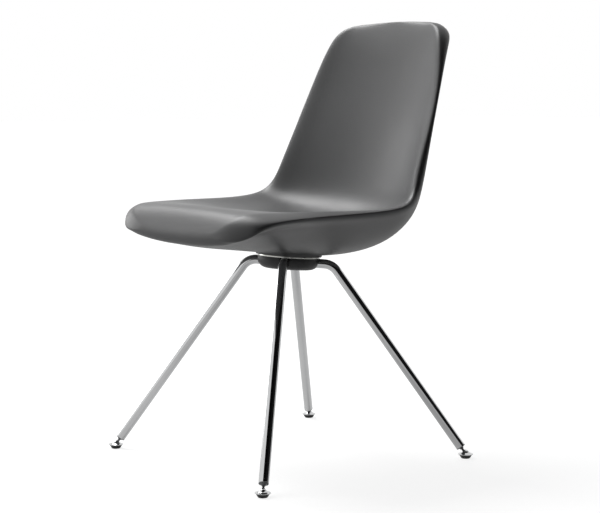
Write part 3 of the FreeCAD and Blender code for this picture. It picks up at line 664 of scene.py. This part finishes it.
def make_leg(name, side_x, side_y):
    """A bent tube: out along the plate, round one bend and down to the foot."""
    slope = math.tan(HUB_TILT) * -side_y * math.sin(DIAGONAL)
    level = tube_level()
    start = Vector((TUBE_START, 0, level + TUBE_START * slope))
    foot = Vector((FOOT_RADIUS - NECK_LENGTH * math.sin(LEG_SPLAY), 0,
                   BALL_HEIGHT + NECK_LENGTH * math.cos(LEG_SPLAY)))
    down = math.tan(LEG_SPLAY)
    corner_x = (foot.x + (foot.z - level) * down) / (slope * down + 1)
    corner = Vector((corner_x, 0, level + corner_x * slope))
    outward = (corner - start).normalized()
    downward = (foot - corner).normalized()
    turn = outward.angle(downward)
    reach = BEND_RADIUS * math.tan(turn / 2)
    leave = corner - outward * reach
    inward = Vector((outward.z, 0, -outward.x))
    tube = begin(
        name, bpy.ops.mesh.primitive_circle_add, vertices=RING_STEPS, radius=TUBE_RADIUS,
        location=start, rotation=(0, QUARTER - math.atan(slope), 0))
    bpy.ops.mesh.extrude_region_move(TRANSFORM_OT_translate={"value": leave - start})
    bpy.ops.mesh.spin(
        steps=BEND_STEPS, angle=turn, center=leave + inward * BEND_RADIUS, axis=(0, -1, 0))
    run = foot - (corner + downward * reach)
    bpy.ops.mesh.extrude_region_move(TRANSFORM_OT_translate={"value": run})
    bpy.ops.mesh.select_all(action="SELECT")
    bpy.ops.mesh.remove_doubles(threshold=JOIN_DISTANCE)
    bpy.ops.mesh.normals_make_consistent(inside=False)
    end(tube, corner_place(side_x, side_y))
    wall = tube.modifiers.new("wall", "SOLIDIFY")
    wall.thickness = TUBE_WALL
    wall.offset = -1
    return soften(tube, TUBE_EDGE)


def make_plug(name, place):
    """End plug of the tube: a ring flush with it and a small cone round the stud."""
    face = NECK_LENGTH - PLUG_FLANGE
    inside = TUBE_RADIUS - TUBE_WALL
    plug = turned(name, [
        (NECK_RADIUS, face - COLLAR_HEIGHT),
        (COLLAR_TIP, face - COLLAR_HEIGHT),
        (COLLAR_RADIUS, face),
        (TUBE_RADIUS, face),
        (TUBE_RADIUS, NECK_LENGTH),
        (inside, NECK_LENGTH),
        (inside, NECK_LENGTH + PLUG_DEPTH),
        (NECK_RADIUS, NECK_LENGTH + PLUG_DEPTH),
        (NECK_RADIUS, face - COLLAR_HEIGHT),
    ], place)
    return soften(plug, PLUG_EDGE)


def make_stud(name, place):
    """Ball and neck of the stud, up into the plug."""
    meet = math.acos(NECK_RADIUS / BALL_RADIUS)
    ball = arc((0, 0), BALL_RADIUS, -NEAR_POLE, meet, BALL_STEPS)
    stud = turned(name, ball + [(NECK_RADIUS, NECK_LENGTH + STUD_IN_PLUG)], place)
    return soften(stud, STUD_EDGE)


def make_bell(name, side_x, side_y):
    """Chromed bell of a foot: a round top that flares to a thin flange."""
    low = TREAD_HEIGHT - BALL_HEIGHT
    lip = low + BELL_LIP
    crown = BELL_TOP - BALL_HEIGHT
    dome = crown - DOME_RADIUS
    drop = lip - dome
    skirt = (BELL_RADIUS ** 2 + drop ** 2 - DOME_RADIUS ** 2) / (2 * (DOME_RADIUS - drop))
    bend = math.atan2(lip + skirt - dome, BELL_RADIUS)
    hollow = BALL_RADIUS + BALL_PLAY
    bell = turned(
        name,
        arc((0, dome), DOME_RADIUS, NEAR_POLE, bend, BELL_STEPS)
        + arc((BELL_RADIUS, lip + skirt), skirt, bend - math.pi, -QUARTER, BELL_STEPS)[1:]
        + [(BELL_RADIUS, low), (hollow, low), (hollow, 0.0), (BELL_CORE, hollow)],
        foot_place(side_x, side_y))
    wide = NECK_RADIUS + MOUTH_PLAY
    mouth = begin(
        "mouth", bpy.ops.mesh.primitive_cone_add, vertices=RING_STEPS, radius1=wide,
        radius2=wide + NECK_LENGTH * math.tan(TILT_LIMIT), depth=NECK_LENGTH,
        location=(0, 0, NECK_LENGTH / 2))
    combine(bell, end(mouth, stud_place(side_x, side_y)), "DIFFERENCE")
    return soften(bell, BELL_EDGE)


def make_tread(name, place):
    """Black base of a foot: a short cone under the bell, smaller on the floor."""
    low = TREAD_HEIGHT - BALL_HEIGHT
    tread = turned(name, [
        (TREAD_CORE, low),
        (TREAD_TOP_RADIUS, low),
        (TREAD_FOOT_RADIUS, -BALL_HEIGHT),
        (TREAD_CORE, -BALL_HEIGHT),
    ], place)
    return soften(tread, TREAD_EDGE)


def make_corner(name, side_x, side_y):
    foot = foot_place(side_x, side_y)
    stud = stud_place(side_x, side_y)
    stud_body = "stud_" + name
    foot_body = "glide_" + name
    place_piece(make_leg("tube_" + name, side_x, side_y), "chair", "chrome", CHROME, "leg_" + name)
    place_piece(
        make_plug("end_plug_" + name, stud), "chair", "grey_plastic", GREY_PLASTIC,
        "leg_plug_" + name)
    place_piece(
        make_stud("ball_and_neck_" + name, stud), stud_body, "stud_steel", STUD_STEEL,
        "ball_stud_" + name)
    place_piece(
        make_bell("bell_" + name, side_x, side_y), foot_body, "chrome", CHROME,
        "glide_cap_" + name)
    place_piece(
        make_tread("tread_" + name, foot), foot_body, "black_plastic", BLACK_PLASTIC,
        "glide_base_" + name)


# Hub

def make_plate():
    """Steel plate between the shell and the tubes, seen as a bright line."""
    plate = turned("round_plate", [
        (PLATE_CORE, 0),
        (PLATE_RADIUS, 0),
        (PLATE_RADIUS, PLATE_THICKNESS),
        (PLATE_CORE, PLATE_THICKNESS),
    ], hub_place(TUBE_RADIUS))
    soften(plate, PLATE_EDGE)
    place_piece(plate, "chair", "zinc_steel", ZINC, "mounting_plate")


def make_cup():
    """Black cup over the joint of the tubes, with a raised middle and four notches."""
    floor = -CUP_DEPTH
    inner = CUP_RADIUS - CUP_WALL
    inside = floor + CUP_WALL
    raised = floor + RECESS_DEPTH
    centre = (CUP_RADIUS - CUP_ROUND, floor + CUP_ROUND)
    place = hub_place(TUBE_RADIUS) @ turned_about_z(DIAGONAL)
    cup = turned(
        "hub_cup",
        [(CUP_HOLE, raised), (RECESS_RADIUS, raised), (RECESS_RADIUS, floor)]
        + arc(centre, CUP_ROUND, -QUARTER, 0, CUP_STEPS)
        + [(CUP_RADIUS, 0), (inner, 0)]
        + arc(centre, CUP_ROUND - CUP_WALL, 0, -QUARTER, CUP_STEPS)
        + [(RECESS_RADIUS + CUP_WALL, inside),
           (RECESS_RADIUS + CUP_WALL, raised + CUP_WALL),
           (CUP_HOLE, raised + CUP_WALL), (CUP_HOLE, raised)],
        place)
    notch = TUBE_RADIUS + NOTCH_PLAY
    through = 3 * CUP_RADIUS
    for lean in ((0, QUARTER, 0), (QUARTER, 0, 0)):
        rod = begin(
            "notch_round", bpy.ops.mesh.primitive_cylinder_add, vertices=RING_STEPS,
            radius=notch, depth=through, location=(0, 0, -TUBE_RADIUS), rotation=lean)
        combine(cup, end(rod, place), "DIFFERENCE")
    for wide, long in ((through, 2 * notch), (2 * notch, through)):
        slot = begin(
            "notch_mouth", bpy.ops.mesh.primitive_cube_add, size=1,
            scale=(wide, long, TUBE_RADIUS + NOTCH_CLEAR),
            location=(0, 0, (NOTCH_CLEAR - TUBE_RADIUS) / 2))
        combine(cup, end(slot, place), "DIFFERENCE")
    soften(cup, CUP_EDGE)
    place_piece(cup, "chair", "black_plastic", BLACK_PLASTIC, "hub_cover")


def make_cover_screw():
    """Button head with a six-sided socket."""
    seat = RECESS_DEPTH - CUP_DEPTH
    head = seat - HEAD_HEIGHT
    place = hub_place(TUBE_RADIUS)
    screw = turned("button_screw", [
        (SHANK_RADIUS, seat + SHANK_LENGTH),
        (SHANK_RADIUS, seat),
        (HEAD_RADIUS, seat),
        (HEAD_RADIUS, seat - HEAD_SIDE),
        (CROWN_RADIUS, head + CROWN_HEIGHT),
        (HEAD_FLAT_RADIUS, head),
    ], place)
    socket = begin(
        "socket", bpy.ops.mesh.primitive_cylinder_add, vertices=SOCKET_SIDES,
        radius=SOCKET_RADIUS, depth=2 * SOCKET_DEPTH, location=(0, 0, head))
    combine(screw, end(socket, place), "DIFFERENCE")
    soften(screw, SCREW_EDGE)
    place_piece(screw, "chair", "zinc_steel", ZINC, "cover_screw")


# Studio

CAMERA_AZIMUTH = math.radians(52.2)
CAMERA_ELEVATION = math.radians(5.93)
CAMERA_DISTANCE = 3.033
CAMERA_AIM = Vector((0.020, HUB_Y, 0.386))
FRAME_WIDTH_PX = 600
FOCAL_PX = 1586.4
CENTRE_X_PX = 294.7
SENSOR_WIDTH = 36.0
LAMP_AIM = Vector((0, 0, 0.5))
KEY_PLACE = Vector((-1.7, -0.4, 3.0))
KEY_SIZE = 1.8
KEY_POWER = 92
SIDE_PLACE = Vector((-2.6, -0.8, 0.8))
SIDE_SIZE = 1.2
SIDE_POWER = 15
WHITE = (1, 1, 1, 1)
ROOM_TINT = (0.95, 0.97, 1.0, 1)
ROOM_STRENGTH = 0.10
BACKDROP_IN_MIRRORS = 1.0
FLOOR_SIZE = 60
FLOOR_TINT = (0.35, 0.35, 0.35, 1)
FLOOR_ROUGHNESS = 0.9
FLOOR_IN_MIRRORS = 0.50
GLOW_START = 0.8
GLOW_END = 4.0
GLOW_NEAR = 0.85
GLOW_FAR = 0.95
CARD_TINT = (0.015, 0.015, 0.016, 1)
WALL_FRONT = 4.2
WALL_LEFT = 1.6
WALL_RIGHT = 3.2
WALL_BACK = -0.8
WALL_HEIGHT = 3.4
CEILING_NEAR = 0.6


def make_camera():
    back = Vector((
        math.sin(CAMERA_AZIMUTH) * math.cos(CAMERA_ELEVATION),
        -math.cos(CAMERA_AZIMUTH) * math.cos(CAMERA_ELEVATION),
        math.sin(CAMERA_ELEVATION)))
    data = bpy.data.cameras.new("camera")
    data.sensor_width = SENSOR_WIDTH
    data.lens = FOCAL_PX / FRAME_WIDTH_PX * SENSOR_WIDTH
    data.shift_x = (FRAME_WIDTH_PX / 2 - CENTRE_X_PX) / FRAME_WIDTH_PX
    camera = bpy.data.objects.new("camera", data)
    camera.location = CAMERA_AIM + back * CAMERA_DISTANCE
    camera.rotation_euler = back.to_track_quat("Z", "Y").to_euler()
    bpy.context.scene.collection.objects.link(camera)
    bpy.context.scene.camera = camera


def background_rays(tree, mirrored):
    """1 for camera rays, and the share that mirror and glass rays see of the backdrop."""
    path = tree.nodes.new("ShaderNodeLightPath")
    indirect = math_node(
        tree, "MAXIMUM", path.outputs["Is Glossy Ray"], path.outputs["Is Transmission Ray"])
    share = math_node(tree, "MULTIPLY", indirect, mirrored)
    return math_node(tree, "MAXIMUM", path.outputs["Is Camera Ray"], share)


def make_world():
    world = bpy.data.worlds.new("studio")
    world.use_nodes = True
    bpy.context.scene.world = world
    tree = world.node_tree
    tree.nodes.clear()
    room = tree.nodes.new("ShaderNodeBackground")
    room.inputs["Color"].default_value = ROOM_TINT
    room.inputs["Strength"].default_value = ROOM_STRENGTH
    white = tree.nodes.new("ShaderNodeBackground")
    white.inputs["Color"].default_value = WHITE
    white.inputs["Strength"].default_value = 1.0
    mix = tree.nodes.new("ShaderNodeMixShader")
    output = tree.nodes.new("ShaderNodeOutputWorld")
    tree.links.new(background_rays(tree, BACKDROP_IN_MIRRORS), mix.inputs["Fac"])
    tree.links.new(room.outputs["Background"], mix.inputs[1])
    tree.links.new(white.outputs["Background"], mix.inputs[2])
    tree.links.new(mix.outputs["Shader"], output.inputs["Surface"])


def floor_glow(tree):
    """How much the floor glows: more far away, where the lamps do not reach."""
    where = tree.nodes.new("ShaderNodeTexCoord").outputs["Object"]
    length = tree.nodes.new("ShaderNodeVectorMath")
    length.operation = "LENGTH"
    tree.links.new(where, length.inputs[0])
    spread = tree.nodes.new("ShaderNodeMapRange")
    spread.interpolation_type = "SMOOTHSTEP"
    tree.links.new(length.outputs["Value"], spread.inputs["Value"])
    spread.inputs["From Min"].default_value = GLOW_START
    spread.inputs["From Max"].default_value = GLOW_END
    spread.inputs["To Min"].default_value = GLOW_NEAR
    spread.inputs["To Max"].default_value = GLOW_FAR
    return spread.outputs["Result"]


def make_floor():
    bpy.ops.object.select_all(action="DESELECT")
    bpy.ops.mesh.primitive_plane_add(size=FLOOR_SIZE)
    floor = bpy.context.object
    floor.name = "floor"
    material = bpy.data.materials.new("pale_floor")
    material.use_nodes = True
    tree = material.node_tree
    shader = tree.nodes["Principled BSDF"]
    shader.inputs["Base Color"].default_value = FLOOR_TINT
    shader.inputs["Roughness"].default_value = FLOOR_ROUGHNESS
    glow = tree.nodes.new("ShaderNodeEmission")
    glow.inputs["Color"].default_value = WHITE
    tree.links.new(
        math_node(tree, "MULTIPLY", background_rays(tree, FLOOR_IN_MIRRORS), floor_glow(tree)),
        glow.inputs["Strength"])
    both = tree.nodes.new("ShaderNodeAddShader")
    tree.links.new(shader.outputs["BSDF"], both.inputs[0])
    tree.links.new(glow.outputs["Emission"], both.inputs[1])
    tree.links.new(both.outputs["Shader"], tree.nodes["Material Output"].inputs["Surface"])
    floor.data.materials.append(material)


def make_lamp(name, place, size, power):
    """A square soft lamp that is turned to the seat."""
    data = bpy.data.lights.new(name, "AREA")
    data.shape = "SQUARE"
    data.size = size
    data.energy = power
    lamp = bpy.data.objects.new(name, data)
    lamp.location = place
    lamp.rotation_euler = (place - LAMP_AIM).to_track_quat("Z", "Y").to_euler()
    bpy.context.scene.collection.objects.link(lamp)


def make_dark_card(name, corners):
    """A black card that shows in the chrome, but not to the camera, and throws no shadow."""
    mesh = bpy.data.meshes.new(name)
    mesh.from_pydata(corners, [], [(0, 1, 2, 3)])
    card = bpy.data.objects.new(name, mesh)
    bpy.context.scene.collection.objects.link(card)
    material = bpy.data.materials.new(name)
    material.use_nodes = True
    shader = material.node_tree.nodes["Principled BSDF"]
    shader.inputs["Base Color"].default_value = CARD_TINT
    shader.inputs["Roughness"].default_value = 1.0
    mesh.materials.append(material)
    card.visible_camera = False
    card.visible_shadow = False


def make_dark_cards():
    """A wall behind the camera, one to its right and a ceiling over both."""
    def seen_place(right, toward, height):
        return (
            right * math.cos(CAMERA_AZIMUTH) + toward * math.sin(CAMERA_AZIMUTH),
            right * math.sin(CAMERA_AZIMUTH) - toward * math.cos(CAMERA_AZIMUTH),
            height)

    make_dark_card("dark_wall", [
        seen_place(-WALL_LEFT, WALL_FRONT, 0),
        seen_place(WALL_RIGHT, WALL_FRONT, 0),
        seen_place(WALL_RIGHT, WALL_FRONT, WALL_HEIGHT),
        seen_place(-WALL_LEFT, WALL_FRONT, WALL_HEIGHT)])
    make_dark_card("dark_side", [
        seen_place(WALL_RIGHT, WALL_FRONT, 0),
        seen_place(WALL_RIGHT, WALL_BACK, 0),
        seen_place(WALL_RIGHT, WALL_BACK, WALL_HEIGHT),
        seen_place(WALL_RIGHT, WALL_FRONT, WALL_HEIGHT)])
    make_dark_card("dark_ceiling", [
        seen_place(-WALL_LEFT, WALL_FRONT, WALL_HEIGHT),
        seen_place(WALL_RIGHT, WALL_FRONT, WALL_HEIGHT),
        seen_place(WALL_RIGHT, CEILING_NEAR, WALL_HEIGHT),
        seen_place(-WALL_LEFT, CEILING_NEAR, WALL_HEIGHT)])


def make_studio():
    make_camera()
    make_world()
    make_floor()
    make_dark_cards()
    make_lamp("key", KEY_PLACE, KEY_SIZE, KEY_POWER)
    make_lamp("side", SIDE_PLACE, SIDE_SIZE, SIDE_POWER)
    bpy.context.scene.view_settings.view_transform = "Standard"


def dress_cad_nodes():
    """Give every CAD node the finish of its slot."""
    for part in frame["record"]["subparts"]:
        finish = SLOT_MATERIALS[part["material_slot"]]
        for holder in frame["nodes"][part["node"]].material_slots:
            holder.material = finish


dress_cad_nodes()
make_shell()
make_plate()
make_cup()
make_cover_screw()
for corner, sides in CORNERS.items():
    make_corner(corner, *sides)
make_studio()
